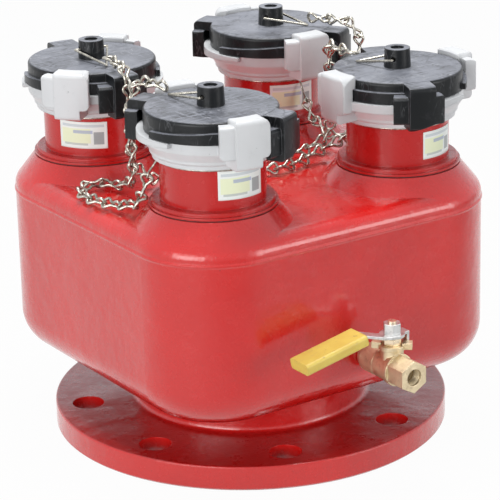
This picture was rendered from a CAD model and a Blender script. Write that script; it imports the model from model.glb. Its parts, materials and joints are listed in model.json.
import bpy, bmesh, json, math
import numpy as np
from mathutils import Matrix, Vector


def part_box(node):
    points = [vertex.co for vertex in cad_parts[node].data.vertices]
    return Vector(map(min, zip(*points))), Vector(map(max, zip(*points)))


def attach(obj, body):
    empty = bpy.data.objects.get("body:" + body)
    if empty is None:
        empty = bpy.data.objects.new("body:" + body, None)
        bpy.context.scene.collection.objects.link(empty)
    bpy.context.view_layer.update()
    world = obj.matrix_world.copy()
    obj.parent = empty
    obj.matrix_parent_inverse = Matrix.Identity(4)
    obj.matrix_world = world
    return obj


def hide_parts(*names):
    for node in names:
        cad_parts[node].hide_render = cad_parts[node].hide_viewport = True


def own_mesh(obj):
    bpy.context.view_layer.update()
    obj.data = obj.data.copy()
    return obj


# A fire department connection: a red cast manifold with four capped inlets and a drain valve.
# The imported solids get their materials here. The scene adds the stickers on the necks, the
# bent-wire links of the chains, springs that shorten with their valves and the thread in the
# drain's outlet, and then the floor, the lamps and the camera. Lengths are in metres.

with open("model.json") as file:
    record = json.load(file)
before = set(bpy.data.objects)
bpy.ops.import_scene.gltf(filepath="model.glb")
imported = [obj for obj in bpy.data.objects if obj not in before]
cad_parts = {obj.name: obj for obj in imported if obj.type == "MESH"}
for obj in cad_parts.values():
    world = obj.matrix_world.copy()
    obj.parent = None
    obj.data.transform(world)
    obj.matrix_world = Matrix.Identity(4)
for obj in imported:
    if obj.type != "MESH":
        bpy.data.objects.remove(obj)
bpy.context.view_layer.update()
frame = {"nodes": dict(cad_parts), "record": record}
NODES = frame["nodes"]
MOUNTS = {m["name"]: m for m in frame["record"]["mounts"]}
INLETS = ("front", "right", "back", "left")
FLANGE_TOP = 0.018  # height of the flange's upper face

# ---------------------------------------------------------------- camera
AZIMUTH, ELEVATION, ROLL = 33.642, 19.373, -1.339  # degrees; azimuth runs from +y to +x
DISTANCE = 1.766
TARGET_SIDE, TARGET_HEIGHT = 0.002028, 0.124166
SENSOR_MM, LENS_MM = 36.0, 176.59584


def make_camera():
    """A long lens on the drain's side, a little above the caps, aimed at the body's middle."""
    azimuth, elevation, roll = (math.radians(a) for a in (AZIMUTH, ELEVATION, ROLL))
    ahead = Vector((math.sin(azimuth) * math.cos(elevation),
                    math.cos(azimuth) * math.cos(elevation),
                    -math.sin(elevation)))
    level = Vector((math.cos(azimuth), -math.sin(azimuth), 0))
    above = level.cross(ahead)
    across = level * math.cos(roll) + above * math.sin(roll)
    up = above * math.cos(roll) - level * math.sin(roll)
    target = level * TARGET_SIDE + Vector((0, 0, TARGET_HEIGHT))
    place = Matrix((across, up, -ahead)).transposed().to_4x4()
    place.translation = target - ahead * DISTANCE
    camera = bpy.data.objects.new("camera", bpy.data.cameras.new("camera"))
    bpy.context.scene.collection.objects.link(camera)
    camera.matrix_world = place
    camera.data.sensor_width = SENSOR_MM
    camera.data.lens = LENS_MM
    camera.data.clip_end = 50
    bpy.context.scene.camera = camera


# ---------------------------------------------------------------- shader nodes
MIX_A, MIX_B, MIX_RESULT = 6, 7, 2  # the colour sockets of a Mix node


def put(tree, socket, value):
    """Links a socket to another node's output, or sets it to a number or a colour."""
    if hasattr(value, "is_output"):
        tree.links.new(value, socket)
    elif socket.type == "RGBA" and len(value) == 3:
        socket.default_value = (*value, 1)
    else:
        socket.default_value = value


def math_node(tree, operation, a, b=0.0):
    node = tree.nodes.new("ShaderNodeMath")
    node.operation = operation
    put(tree, node.inputs[0], a)
    put(tree, node.inputs[1], b)
    return node.outputs[0]


class Mat:
    """Builds one node material. Its patterns lie in object coordinates, in metres."""

    def __init__(self, name):
        self.material = bpy.data.materials.new(name)
        self.material.use_nodes = True
        self.tree = self.material.node_tree
        self.shader = self.tree.nodes["Principled BSDF"]
        self.place = self.new("TexCoord").outputs["Object"]
        self.normal = None

    def new(self, kind, **settings):
        node = self.tree.nodes.new("ShaderNode" + kind)
        for name, value in settings.items():
            setattr(node, name, value)
        return node

    def link(self, output, socket):
        self.tree.links.new(output, socket)

    def set(self, **sockets):
        """Sets or links the shader's sockets: Base_Color stands for Base Color."""
        for name, value in sockets.items():
            put(self.tree, self.shader.inputs[name.replace("_", " ")], value)

    def math(self, operation, a, b=0.0):
        return math_node(self.tree, operation, a, b)

    def times(self, a, b):
        return self.math("MULTIPLY", a, b)

    def mix(self, share, a, b):
        """The colour a, with this share of the colour b in it."""
        node = self.new("Mix", data_type="RGBA")
        put(self.tree, node.inputs["Factor"], share)
        put(self.tree, node.inputs[MIX_A], a)
        put(self.tree, node.inputs[MIX_B], b)
        return node.outputs[MIX_RESULT]

    def ramp(self, value, start, end, low=0.0, high=1.0):
        """Goes from low to high while the value goes from start to end, and stays there."""
        node = self.new("MapRange")
        put(self.tree, node.inputs["Value"], value)
        for name, number in (("From Min", start), ("From Max", end), ("To Min", low), ("To Max", high)):
            node.inputs[name].default_value = number
        return node.outputs["Result"]

    def stretched(self, scale, turn=0.0):
        """The object coordinates, stretched and then turned about z by some degrees."""
        node = self.new("Mapping")
        self.link(self.place, node.inputs["Vector"])
        node.inputs["Rotation"].default_value = (0, 0, math.radians(turn))
        node.inputs["Scale"].default_value = scale
        return node.outputs["Vector"]

    def noise(self, scale, detail=4, rough=0.55, place=None, distort=0.0):
        node = self.new("TexNoise")
        self.link(place or self.place, node.inputs["Vector"])
        node.inputs["Scale"].default_value = scale
        node.inputs["Detail"].default_value = detail
        node.inputs["Roughness"].default_value = rough
        node.inputs["Distortion"].default_value = distort
        return node.outputs["Fac"]

    def patches(self, scale, start, end, detail=4, rough=0.55, place=None, distort=0.0):
        """Patches of noise: 0 where it is under start, and 1 where it is over end."""
        return self.ramp(self.noise(scale, detail, rough, place, distort), start, end)

    def scratches(self, scale, stretch, turn, width):
        """Thin wandering lines: the level lines of a stretched noise."""
        noise = self.noise(scale, 3, 0.5, self.stretched(stretch, turn))
        off = self.math("ABSOLUTE", self.math("SUBTRACT", noise, 0.5))
        return self.ramp(off, width, 0.3 * width)

    def z_of(self, vector):
        node = self.new("SeparateXYZ")
        self.link(vector, node.inputs[0])
        return node.outputs["Z"]

    def facing_up(self, start, end):
        """0 where the upward part of the true normal is under start, and 1 where it is over end."""
        return self.ramp(self.z_of(self.new("NewGeometry").outputs["True Normal"]), start, end)

    def rounded_normal(self, radius):
        node = self.new("Bevel", samples=6)
        node.inputs["Radius"].default_value = radius
        return node.outputs["Normal"]

    def edges(self, radius):
        """1 on sharp edges and 0 on faces, from how far a rounded normal turns away."""
        dot = self.new("VectorMath", operation="DOT_PRODUCT")
        self.link(self.rounded_normal(radius), dot.inputs[0])
        self.link(self.new("NewGeometry").outputs["True Normal"], dot.inputs[1])
        return self.ramp(dot.outputs["Value"], 0.985, 0.88)

    def use_normal(self, normal):
        self.normal = normal
        self.link(normal, self.shader.inputs["Normal"])

    def soft_edges(self, radius):
        """Rounds the shading of sharp edges, as on cast, moulded and plated parts."""
        self.use_normal(self.rounded_normal(radius))

    def bump(self, height, strength, depth):
        """Adds relief to the normal that the shader has so far."""
        node = self.new("Bump")
        node.inputs["Strength"].default_value = strength
        node.inputs["Distance"].default_value = depth
        self.link(height, node.inputs["Height"])
        if self.normal is not None:
            self.link(self.normal, node.inputs["Normal"])
        self.use_normal(node.outputs["Normal"])


# ---------------------------------------------------------------- materials
def red_paint(name, lumps, coat, light=(0.62, 0.010, 0.008), deep=(0.55, 0.007, 0.006)):
    """Glossy enamel on a sand-cast skin (lumps = 1) or a smoother one, with dirt on the flange."""
    m = Mat(name)
    m.soft_edges(0.0008)
    colour = m.mix(m.patches(11, 0.35, 0.7, detail=2), light, deep)
    pits = m.patches(620, 0.72, 0.78, detail=2, rough=0.6)
    colour = m.mix(m.times(pits, 0.8 * lumps), colour, (0.22, 0.008, 0.008))
    dust = m.times(m.facing_up(0.8, 1.0), m.patches(48, 0.46, 0.72, detail=5, rough=0.7))
    colour = m.mix(m.times(dust, 0.16), colour, (0.42, 0.16, 0.14))
    low = m.ramp(m.z_of(m.place), FLANGE_TOP + 0.008, FLANGE_TOP + 0.002)
    dirt = m.times(low, m.facing_up(0.5, 0.9))
    colour = m.mix(m.times(dirt, 0.6), colour, (0.24, 0.006, 0.006))
    rough = m.math("ADD", m.ramp(m.noise(90), 0.3, 0.7, 0.20, 0.32), m.times(dust, 0.25))
    m.set(Base_Color=colour, Roughness=rough, Coat_Weight=coat, Coat_Roughness=0.10)
    m.bump(m.noise(20, 3, 0.5), 0.5 * lumps, 0.0045)
    m.bump(m.noise(75, 4, 0.6), 0.5 * lumps, 0.0015)
    m.bump(m.noise(420, 3, 0.6), 0.5 * lumps, 0.0005)
    return m.material


def grey_coat():
    """Powder coat of the couplings, with grime and small chips."""
    m = Mat("grey_coat")
    m.soft_edges(0.0012)
    colour = m.mix(m.patches(30, 0.35, 0.7, detail=3), (0.66, 0.67, 0.68), (0.60, 0.61, 0.62))
    grime = m.patches(120, 0.60, 0.76, detail=6, rough=0.75)
    colour = m.mix(m.times(grime, 0.22), colour, (0.30, 0.29, 0.28))
    chips = m.patches(330, 0.72, 0.75, detail=3, rough=0.6)
    colour = m.mix(m.times(chips, 0.45), colour, (0.16, 0.16, 0.17))
    m.set(Base_Color=colour, Roughness=m.ramp(m.noise(160, 3), 0.3, 0.7, 0.30, 0.42))
    m.bump(m.noise(150), 0.2, 0.0006)
    m.bump(m.noise(1100, 2), 0.15, 0.0002)
    return m.material


def black_plastic():
    """Black moulded plastic, worn to a blue grey on top, with pale scratches and dark cuts."""
    m = Mat("black_plastic")
    m.soft_edges(0.0010)
    top = m.facing_up(0.8, 0.97)
    worn = m.patches(24, 0.30, 0.62, detail=5, rough=0.6)
    thin_in_y, thin_in_x = m.stretched((1, 9, 1)), m.stretched((8, 1, 1))
    streaks = m.patches(38, 0.44, 0.58, detail=8, rough=0.8, place=thin_in_y, distort=0.6)
    crossing = m.patches(34, 0.46, 0.60, detail=8, rough=0.8, place=thin_in_x, distort=0.5)
    worn = m.times(top, m.math("MAXIMUM", worn, m.math("MAXIMUM", streaks, crossing)))
    colour = m.mix(worn, (0.007, 0.008, 0.009), (0.235, 0.245, 0.280))
    pale = m.math("MAXIMUM", m.scratches(30, (1, 5, 1), 25, 0.010), m.scratches(26, (6, 1, 1), 40, 0.010))
    pale = m.times(pale, m.patches(45, 0.48, 0.60, detail=3))
    colour = m.mix(m.times(pale, m.ramp(top, 0.0, 1.0, 0.12, 0.55)), colour, (0.42, 0.43, 0.46))
    smears = m.times(m.patches(52, 0.56, 0.66, detail=7, rough=0.72, distort=1.2), 0.75)
    cuts = m.times(m.scratches(22, (1, 4, 1), -50, 0.014), m.patches(33, 0.46, 0.56, detail=3))
    colour = m.mix(m.math("MAXIMUM", smears, m.times(cuts, 0.7)), colour, (0.020, 0.020, 0.023))
    rubbed = m.times(m.edges(0.0012), m.patches(130, 0.36, 0.60, detail=5, rough=0.7))
    colour = m.mix(m.times(rubbed, 0.45), colour, (0.20, 0.205, 0.22))
    m.set(Base_Color=colour, Roughness=m.math("ADD", m.times(worn, 0.10), 0.32), IOR=1.36)
    m.bump(m.noise(300, 5, 0.7), 0.25, 0.0005)
    return m.material


def metal(name, light, deep, rough, scale, grime=0.35, bump=0.15, dirt=(0.06, 0.05, 0.04), edge=0.0):
    """Bare metal that varies between two tones, with grime of a third tone in patches."""
    m = Mat(name)
    if edge:
        m.soft_edges(edge)
    colour = m.mix(m.patches(scale, 0.3, 0.7), light, deep)
    grimy = m.times(m.patches(scale * 2.3, 0.52, 0.72, detail=5, rough=0.7), grime)
    colour = m.mix(grimy, colour, dirt)
    m.set(Base_Color=colour, Metallic=1.0, Roughness=m.ramp(m.noise(scale * 1.7, 3), 0.3, 0.7, *rough))
    m.bump(m.noise(scale * 5, 3), bump, 0.0003)
    return m.material


def plain(name, light, deep, rough):
    """A dull material of two near tones, for rubber, fibre and seals."""
    m = Mat(name)
    m.set(Base_Color=m.mix(m.patches(150, 0.35, 0.7), light, deep), Roughness=rough)
    m.bump(m.noise(450, 3), 0.15, 0.0004)
    return m.material


def yellow_vinyl():
    """The dipped sleeve of the lever, rubbed along it and dirty in spots."""
    m = Mat("yellow_vinyl")
    m.soft_edges(0.0012)
    colour = m.mix(m.patches(60, 0.35, 0.7), (0.73, 0.57, 0.115), (0.66, 0.47, 0.085))
    rubbed = m.patches(150, 0.54, 0.64, detail=6, rough=0.75, place=m.stretched((1, 3, 1)))
    colour = m.mix(m.times(rubbed, 0.5), colour, (0.56, 0.40, 0.12))
    dirt = m.patches(210, 0.64, 0.70, rough=0.65)
    colour = m.mix(m.times(dirt, 0.6), colour, (0.34, 0.20, 0.07))
    m.set(Base_Color=colour, Roughness=0.38)
    m.bump(m.noise(260), 0.25, 0.0006)
    return m.material


# Colour fields of a sticker: from and to across it, from and to up it, and the colour
STICKER_FIELDS = (
    (0.05, 0.66, 0.20, 0.74, (0.80, 0.86, 0.50)),
    (0.06, 0.94, 0.80, 0.90, (0.50, 0.56, 0.60)),
    (0.30, 0.70, 0.56, 0.68, (0.30, 0.36, 0.58)),
    (0.10, 0.60, 0.12, 0.20, (0.42, 0.46, 0.42)),
    (0.72, 0.93, 0.16, 0.62, (0.16, 0.18, 0.20)),
)


def sticker_paper():
    """Plain colour fields on pale coated paper."""
    m = Mat("sticker_paper")
    split = m.new("SeparateXYZ")
    m.link(m.new("TexCoord").outputs["UV"], split.inputs[0])

    def between(axis, start, end):
        place = split.outputs[axis]
        return m.times(m.math("GREATER_THAN", place, start), m.math("LESS_THAN", place, end))

    colour = m.mix(m.patches(90, 0.3, 0.7), (0.80, 0.86, 0.82), (0.86, 0.89, 0.87))
    for left, right, bottom, top, ink in STICKER_FIELDS:
        field = m.times(between("X", left, right), between("Y", bottom, top))
        colour = m.mix(m.times(field, 0.7), colour, ink)
    m.set(Base_Color=colour, Roughness=0.32)
    return m.material


def assign(mat, *names):
    for name in names:
        materials = NODES[name].data.materials
        materials.clear()
        materials.append(mat)


def every(name):
    """The names of a solid that each inlet has."""
    return [name + "_" + i for i in INLETS]


def dress_nodes():
    assign(red_paint("cast_red", 1.0, 0.6), "casting")
    assign(red_paint("neck_red", 0.2, 0.2, (0.52, 0.009, 0.008), (0.47, 0.007, 0.006)), *every("neck"))
    assign(grey_coat(), *every("coupling"))
    assign(black_plastic(), *every("cap"))
    rubber = plain("rubber", (0.02, 0.02, 0.02), (0.035, 0.034, 0.033), 0.7)
    assign(rubber, "ring_gaskets", *every("cap_gasket"), *every("valve_seat"))
    assign(plain("dark_fibre", (0.03, 0.025, 0.025), (0.06, 0.05, 0.05), 0.8), "neck_washers")
    white = plain("white_seal", (0.85, 0.85, 0.83), (0.78, 0.78, 0.76), 0.45)
    assign(white, "drain_seats", "drain_packing")
    cast = metal("cast_brass", (0.62, 0.43, 0.2), (0.5, 0.36, 0.18), (0.35, 0.5), 90)
    assign(cast, *every("guide"), *every("valve_disc"))
    forged = metal("forged_brass", (0.76, 0.64, 0.43), (0.60, 0.49, 0.32), (0.40, 0.55), 70,
                   grime=0.5, bump=0.6, dirt=(0.24, 0.16, 0.10), edge=0.0008)
    assign(forged, "drain_end", "drain_body")
    turned = metal("turned_brass", (0.90, 0.77, 0.58), (0.78, 0.62, 0.43), (0.22, 0.38), 110,
                   grime=0.5, bump=0.2, dirt=(0.20, 0.13, 0.08), edge=0.0006)
    assign(turned, "drain_nipple", "drain_stem", "packing_nut", *every("spindle_nut"))
    wire = metal("wire_steel", (0.60, 0.57, 0.50), (0.34, 0.32, 0.27), (0.20, 0.36), 260, grime=0.8)
    assign(wire, *every("spring"), *every("bail"), *every("chain"))
    steel = metal("plated_steel", (0.70, 0.70, 0.69), (0.55, 0.55, 0.54), (0.30, 0.44), 150,
                  grime=0.4, edge=0.0006)
    assign(steel, "lever", "lever_nut")
    chrome = metal("chromed", (0.75, 0.75, 0.75), (0.7, 0.7, 0.7), (0.05, 0.1), 60, grime=0.0, bump=0.0)
    assign(chrome, "drain_ball")
    assign(yellow_vinyl(), "lever_sleeve")


# ---------------------------------------------------------------- added pieces
def new_piece(name, bm, mat, body, smooth=True):
    """Makes an object of a bmesh, which moves with a body of the frame."""
    mesh = bpy.data.meshes.new(name)
    bm.to_mesh(mesh)
    bm.free()
    o = bpy.data.objects.new(name, mesh)
    bpy.context.scene.collection.objects.link(o)
    mesh.materials.append(mat)
    for face in mesh.polygons:
        face.use_smooth = smooth
    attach(o, body)
    return o


# For each inlet: the angles round the neck where the sticker starts and ends, how far below the
# coupling its lower and upper edges lie, and how much lower its end sits than its start
STICKERS = {
    "front": (-118, -62, 0.0225, 0.0025, 0.0008),
    "left": (-162, -106, 0.0235, 0.0040, 0.0008),
    "right": (-98, -50, 0.0250, 0.0055, 0.0),
    "back": (-127, -71, 0.0250, 0.0045, 0.0),
}
STICKER_COLUMNS, STICKER_ROWS = 40, 16
STICKER_T = 0.0001
STICKER_LIFT, STICKER_EDGE_LIFT = 0.00012, 0.00016
STICKER_EDGE = 0.05  # the share of a sticker's width that its lifted edge takes
STICKER_ASPECT = 0.6  # a sticker's height as a share of its width, for its edges
RIM_DEPTH = 0.001


def neck_axis(i):
    """The middle of the neck of inlet i, and the radius of its upper part."""
    low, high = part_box("neck_" + i)
    middle = (low + high) / 2
    rim = [v.co for v in NODES["neck_" + i].data.vertices if v.co.z > high.z - RIM_DEPTH]
    return middle, max((co - middle).xy.length for co in rim)


def sticker(i, mat):
    """A label wrapped on the neck of inlet i: a thin curved sheet with slightly lifted edges."""
    start, end, lower, upper, drop = STICKERS[i]
    middle, radius = neck_axis(i)
    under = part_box("coupling_" + i)[0].z
    bm = bmesh.new()
    uv = bm.loops.layers.uv.new("UVMap")
    grid = []
    for k in range(STICKER_ROWS + 1):
        row = []
        for j in range(STICKER_COLUMNS + 1):
            u, v = j / STICKER_COLUMNS, k / STICKER_ROWS
            to_edge = min(u, 1 - u, v * STICKER_ASPECT, (1 - v) * STICKER_ASPECT)
            r = radius + STICKER_LIFT + STICKER_EDGE_LIFT * max(0.0, 1 - to_edge / STICKER_EDGE)
            a = math.radians(start + (end - start) * u)
            z = under - lower + (lower - upper) * v - drop * (u - 0.5)
            row.append(bm.verts.new((middle.x + r * math.cos(a), middle.y + r * math.sin(a), z)))
        grid.append(row)
    for k in range(STICKER_ROWS):
        for j in range(STICKER_COLUMNS):
            face = bm.faces.new((grid[k][j], grid[k][j + 1], grid[k + 1][j + 1], grid[k + 1][j]))
            for loop, (du, dv) in zip(face.loops, ((0, 0), (1, 0), (1, 1), (0, 1))):
                loop[uv].uv = ((j + du) / STICKER_COLUMNS, (k + dv) / STICKER_ROWS)
    o = new_piece("label_" + i, bm, mat, "manifold")
    o.modifiers.new("thick", "SOLIDIFY").thickness = STICKER_T


def coil(i):
    """The valve spring of inlet i, which shortens towards its fixed end as the valve opens."""
    node = NODES["spring_" + i]
    bm = bmesh.new()
    bm.from_mesh(node.data)
    o = new_piece("coil_" + i, bm, node.data.materials[0], "manifold")
    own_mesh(o)
    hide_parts("spring_" + i)


THREAD_PITCH = 0.001337  # that of G 1/4
THREAD_TURNS, THREAD_STEPS = 6, 40  # and the steps in each turn
THREAD_START = 0.0008  # from the bore's mouth
THREAD_CLEAR = 0.00003  # from the bore's wall
# The ridge's section: how far each corner stands in from the wall, and its place along the bore
THREAD_RIDGE = ((0.0, -0.00055), (0.0006, -0.0001), (0.0006, 0.0001), (0.0, 0.00055))


def outlet_thread(mat):
    """The pipe thread in the drain's outlet: a ridge wound along the bore's wall."""
    bore = MOUNTS["drain_outlet"]
    axis = Vector(bore["axis"]).normalized()
    mouth = Vector(bore["pos_m"]) + axis * bore["dims"]["length_mm"] / 2000
    radius = bore["dims"]["r_mm"] / 1000 - THREAD_CLEAR
    u = axis.orthogonal().normalized()
    w = axis.cross(u)
    bm = bmesh.new()
    before = None
    for k in range(THREAD_TURNS * THREAD_STEPS + 1):
        turned = k / THREAD_STEPS
        fade = min(1.0, turned, THREAD_TURNS - turned)
        out = math.cos(math.tau * turned) * u + math.sin(math.tau * turned) * w
        back = THREAD_START + THREAD_PITCH * turned
        row = [bm.verts.new(mouth + out * (radius - tall * fade) - axis * (back + along))
               for tall, along in THREAD_RIDGE]
        if before:
            for p in range(len(row) - 1):
                bm.faces.new((before[p], before[p + 1], row[p + 1], row[p]))
        before = row
    bmesh.ops.recalc_face_normals(bm, faces=bm.faces)
    new_piece("outlet_thread", bm, mat, "manifold", smooth=False)


# ---------------------------------------------------------------- chains
LINK_WIRE = 0.00105  # the wire's radius
LINK_REACH = 0.0084  # from a link's middle to the wire's middle at its end
LINK_HALF_W = 0.0039  # half a loop's width, between the wire's middles
LINK_FULLNESS = 1.35  # the lower, the rounder the loops
LINK_POINTS, LINK_SIDES = 56, 10
CROSSING_GAP = 1.03  # between the wires' middles where they cross, in wire diameters
CROSSING, OPENING = 0.0020, 0.0012  # how far along the link that gap fades, and the loops open
TIE_REACH = 3 * LINK_REACH  # a solid larger than this is a tie wire and no link


def sweep_ring(path, radius, sides, verts, faces):
    """Adds a round wire along a closed path, its section carried on without twisting."""
    n = len(path)
    ahead = [(path[(k + 1) % n] - path[k - 1]).normalized() for k in range(n)]
    side = ahead[0].orthogonal().normalized()
    side_at = []
    for d in ahead:
        side = (side - d * side.dot(d)).normalized()
        side_at.append(side)
    first = len(verts)
    for p, d, u in zip(path, ahead, side_at):
        w = d.cross(u)
        for j in range(sides):
            a = math.tau * j / sides
            verts.append(p + radius * (math.cos(a) * u + math.sin(a) * w))
    # The section comes back turned, so the last faces join corners this many places apart
    across = ahead[0].cross(side_at[0])
    slip = round(math.atan2(side.dot(across), side.dot(side_at[0])) / math.tau * sides)
    for k in range(n):
        here, there = first + k * sides, first + (k + 1) % n * sides
        s = slip if k == n - 1 else 0
        for j in range(sides):
            faces.append((here + j, here + (j + 1) % sides,
                          there + (j + 1 - s) % sides, there + (j - s) % sides))


def jack_link():
    """Path of one link: wire bent to two loops, the second turned a quarter about the link's axis."""
    path = []
    for k in range(LINK_POINTS):
        t = math.tau * (k + 0.5) / LINK_POINTS
        way = math.copysign(1, math.sin(t))
        x = LINK_REACH * math.cos(t)
        out = LINK_HALF_W * abs(math.sin(2 * t)) ** LINK_FULLNESS * way
        apart = CROSSING_GAP * LINK_WIRE * math.exp(-(x / CROSSING) ** 2) * way / math.sqrt(2)
        p = Vector((x, apart, apart))
        p[2 if x > 0 else 1] += out * (1 - math.exp(-(x / OPENING) ** 2))
        path.append(p)
    return path


def loose_parts(mesh):
    """Vertex numbers of each separate solid in a mesh. Corners in one place count as one."""
    group = list(range(len(mesh.vertices)))

    def root(v):
        while group[v] != v:
            group[v] = group[group[v]]
            v = group[v]
        return v

    places = [tuple(round(c, 7) for c in v.co) for v in mesh.vertices]
    first_at = {}
    for v, place in enumerate(places):
        first_at.setdefault(place, v)
    same = [first_at[place] for place in places]
    for e in mesh.edges:
        group[root(same[e.vertices[0]])] = root(same[e.vertices[1]])
    parts = {}
    for v in range(len(group)):
        parts.setdefault(root(same[v]), []).append(v)
    return list(parts.values())


def link_frame(co):
    """Centre and axes of a link from its points: x along it, y across its first loop."""
    mid = (co.max(0) + co.min(0)) / 2
    x = np.linalg.svd(co - co.mean(0), full_matrices=False)[2][0]
    along = (co - mid) @ x
    mid = mid + x * (along.max() + along.min()) / 2
    first_loop = co[(co - mid) @ x < -0.25 * LINK_REACH] - mid
    flat = first_loop - np.outer(first_loop @ x, x)
    y = np.linalg.svd(flat, full_matrices=False)[2][0]
    return Vector(mid), Vector(x), Vector(y), Vector(np.cross(x, y))


def copy_part(mesh, part, verts, faces):
    """Adds one solid of a mesh as it is."""
    new_number = {v: len(verts) + k for k, v in enumerate(part)}
    verts += [mesh.vertices[v].co.copy() for v in part]
    for face in mesh.polygons:
        if face.vertices[0] in new_number:
            faces.append(tuple(new_number[v] for v in face.vertices))


def chain(i, mat):
    """The chain of inlet i, with bent-wire links in the places of the CAD's plain ones."""
    mesh = NODES["chain_" + i].data
    places = np.array([v.co for v in mesh.vertices])
    shape, verts, faces = jack_link(), [], []
    for part in loose_parts(mesh):
        co = places[part]
        if np.ptp(co, axis=0).max() > TIE_REACH:
            copy_part(mesh, part, verts, faces)
        else:
            mid, x, y, z = link_frame(co)
            path = [mid + x * p.x + y * p.y + z * p.z for p in shape]
            sweep_ring(path, LINK_WIRE, LINK_SIDES, verts, faces)
    bm = bmesh.new()
    made = [bm.verts.new(v) for v in verts]
    for f in faces:
        bm.faces.new([made[k] for k in f])
    bmesh.ops.remove_doubles(bm, verts=bm.verts, dist=1e-7)
    bmesh.ops.recalc_face_normals(bm, faces=bm.faces)
    o = new_piece("links_" + i, bm, mat, "manifold")
    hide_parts("chain_" + i)


# ---------------------------------------------------------------- stage
FLOOR_HALF = 8
# The floor's mirror image runs from grey to white between two distances along this direction
SWEEP_ALONG, SWEEP_GREY, SWEEP_WHITE = (-0.2, 0.98, 0), -0.52, -0.16


def by_ray(tree, camera, glossy, other=0.0):
    """A socket with one value for camera rays, one for glossy and clear ones, and one for the rest."""
    path = tree.nodes.new("ShaderNodeLightPath")
    seen = path.outputs["Is Camera Ray"]
    shine = math_node(tree, "MAXIMUM", path.outputs["Is Glossy Ray"], path.outputs["Is Transmission Ray"])
    rest = math_node(tree, "SUBTRACT", 1.0, math_node(tree, "ADD", seen, shine))
    total = math_node(tree, "ADD", math_node(tree, "MULTIPLY", seen, camera),
                      math_node(tree, "MULTIPLY", shine, glossy))
    return math_node(tree, "ADD", total, math_node(tree, "MULTIPLY", rest, other))


def floor_material():
    """Grey to the light that falls back on the object, and white to the camera."""
    mat = bpy.data.materials.new("floor")
    mat.use_nodes = True
    tree = mat.node_tree
    matt = tree.nodes["Principled BSDF"]
    matt.inputs["Base Color"].default_value = (0.45, 0.45, 0.45, 1)
    matt.inputs["Roughness"].default_value = 0.6
    white = tree.nodes.new("ShaderNodeEmission")
    white.inputs["Strength"].default_value = 1.0
    place = tree.nodes.new("ShaderNodeTexCoord")
    along = tree.nodes.new("ShaderNodeVectorMath")
    along.operation = "DOT_PRODUCT"
    along.inputs[1].default_value = SWEEP_ALONG
    tree.links.new(place.outputs["Object"], along.inputs[0])
    sweep = tree.nodes.new("ShaderNodeMapRange")
    sweep.inputs["From Min"].default_value = SWEEP_GREY
    sweep.inputs["From Max"].default_value = SWEEP_WHITE
    tree.links.new(along.outputs["Value"], sweep.inputs["Value"])
    mix = tree.nodes.new("ShaderNodeMixShader")
    tree.links.new(by_ray(tree, camera=0.97, glossy=sweep.outputs["Result"]), mix.inputs[0])
    tree.links.new(matt.outputs[0], mix.inputs[1])
    tree.links.new(white.outputs[0], mix.inputs[2])
    tree.links.new(mix.outputs[0], tree.nodes["Material Output"].inputs[0])
    return mat


def make_floor():
    mesh = bpy.data.meshes.new("floor")
    s = FLOOR_HALF
    mesh.from_pydata([(-s, -s, 0), (s, -s, 0), (s, s, 0), (-s, s, 0)], [], [(0, 1, 2, 3)])
    mesh.materials.append(floor_material())
    floor = bpy.data.objects.new("floor", mesh)
    bpy.context.scene.collection.objects.link(floor)


def make_world():
    world = bpy.data.worlds.new("world")
    bpy.context.scene.world = world
    world.use_nodes = True
    tree = world.node_tree
    sky = tree.nodes["Background"]
    sky.inputs["Color"].default_value = (0.96, 0.98, 1.02, 1)
    tree.links.new(by_ray(tree, camera=1.05, glossy=1.0, other=0.30), sky.inputs["Strength"])


def lamp(name, place, target_height, width, height, power):
    """A soft rectangular lamp of some watts that looks at a point on the object's axis."""
    light = bpy.data.lights.new(name, "AREA")
    light.shape = "RECTANGLE"
    light.size, light.size_y = width, height
    light.energy = power
    o = bpy.data.objects.new(name, light)
    o.location = place
    ahead = Vector((0, 0, target_height)) - Vector(place)
    o.rotation_euler = ahead.to_track_quat("-Z", "Y").to_euler()
    bpy.context.scene.collection.objects.link(o)


def make_stage():
    make_floor()
    make_world()
    lamp("key_left", (-1.6, -0.7, 0.50), target_height=0.12, width=1.3, height=0.8, power=18)
    lamp("fill_right", (1.0, -1.7, 0.48), target_height=0.12, width=0.9, height=0.9, power=12)
    lamp("top", (0.0, 0.1, 1.6), target_height=0.1, width=0.8, height=0.8, power=22)
    bpy.context.scene.view_settings.view_transform = "Standard"


# ---------------------------------------------------------------- the scene
make_camera()
dress_nodes()
paper = sticker_paper()
for inlet in STICKERS:
    sticker(inlet, paper)
outlet_thread(NODES["drain_body"].data.materials[0])
for inlet in INLETS:
    coil(inlet)
    chain(inlet, NODES["chain_" + inlet].data.materials[0])
make_stage()
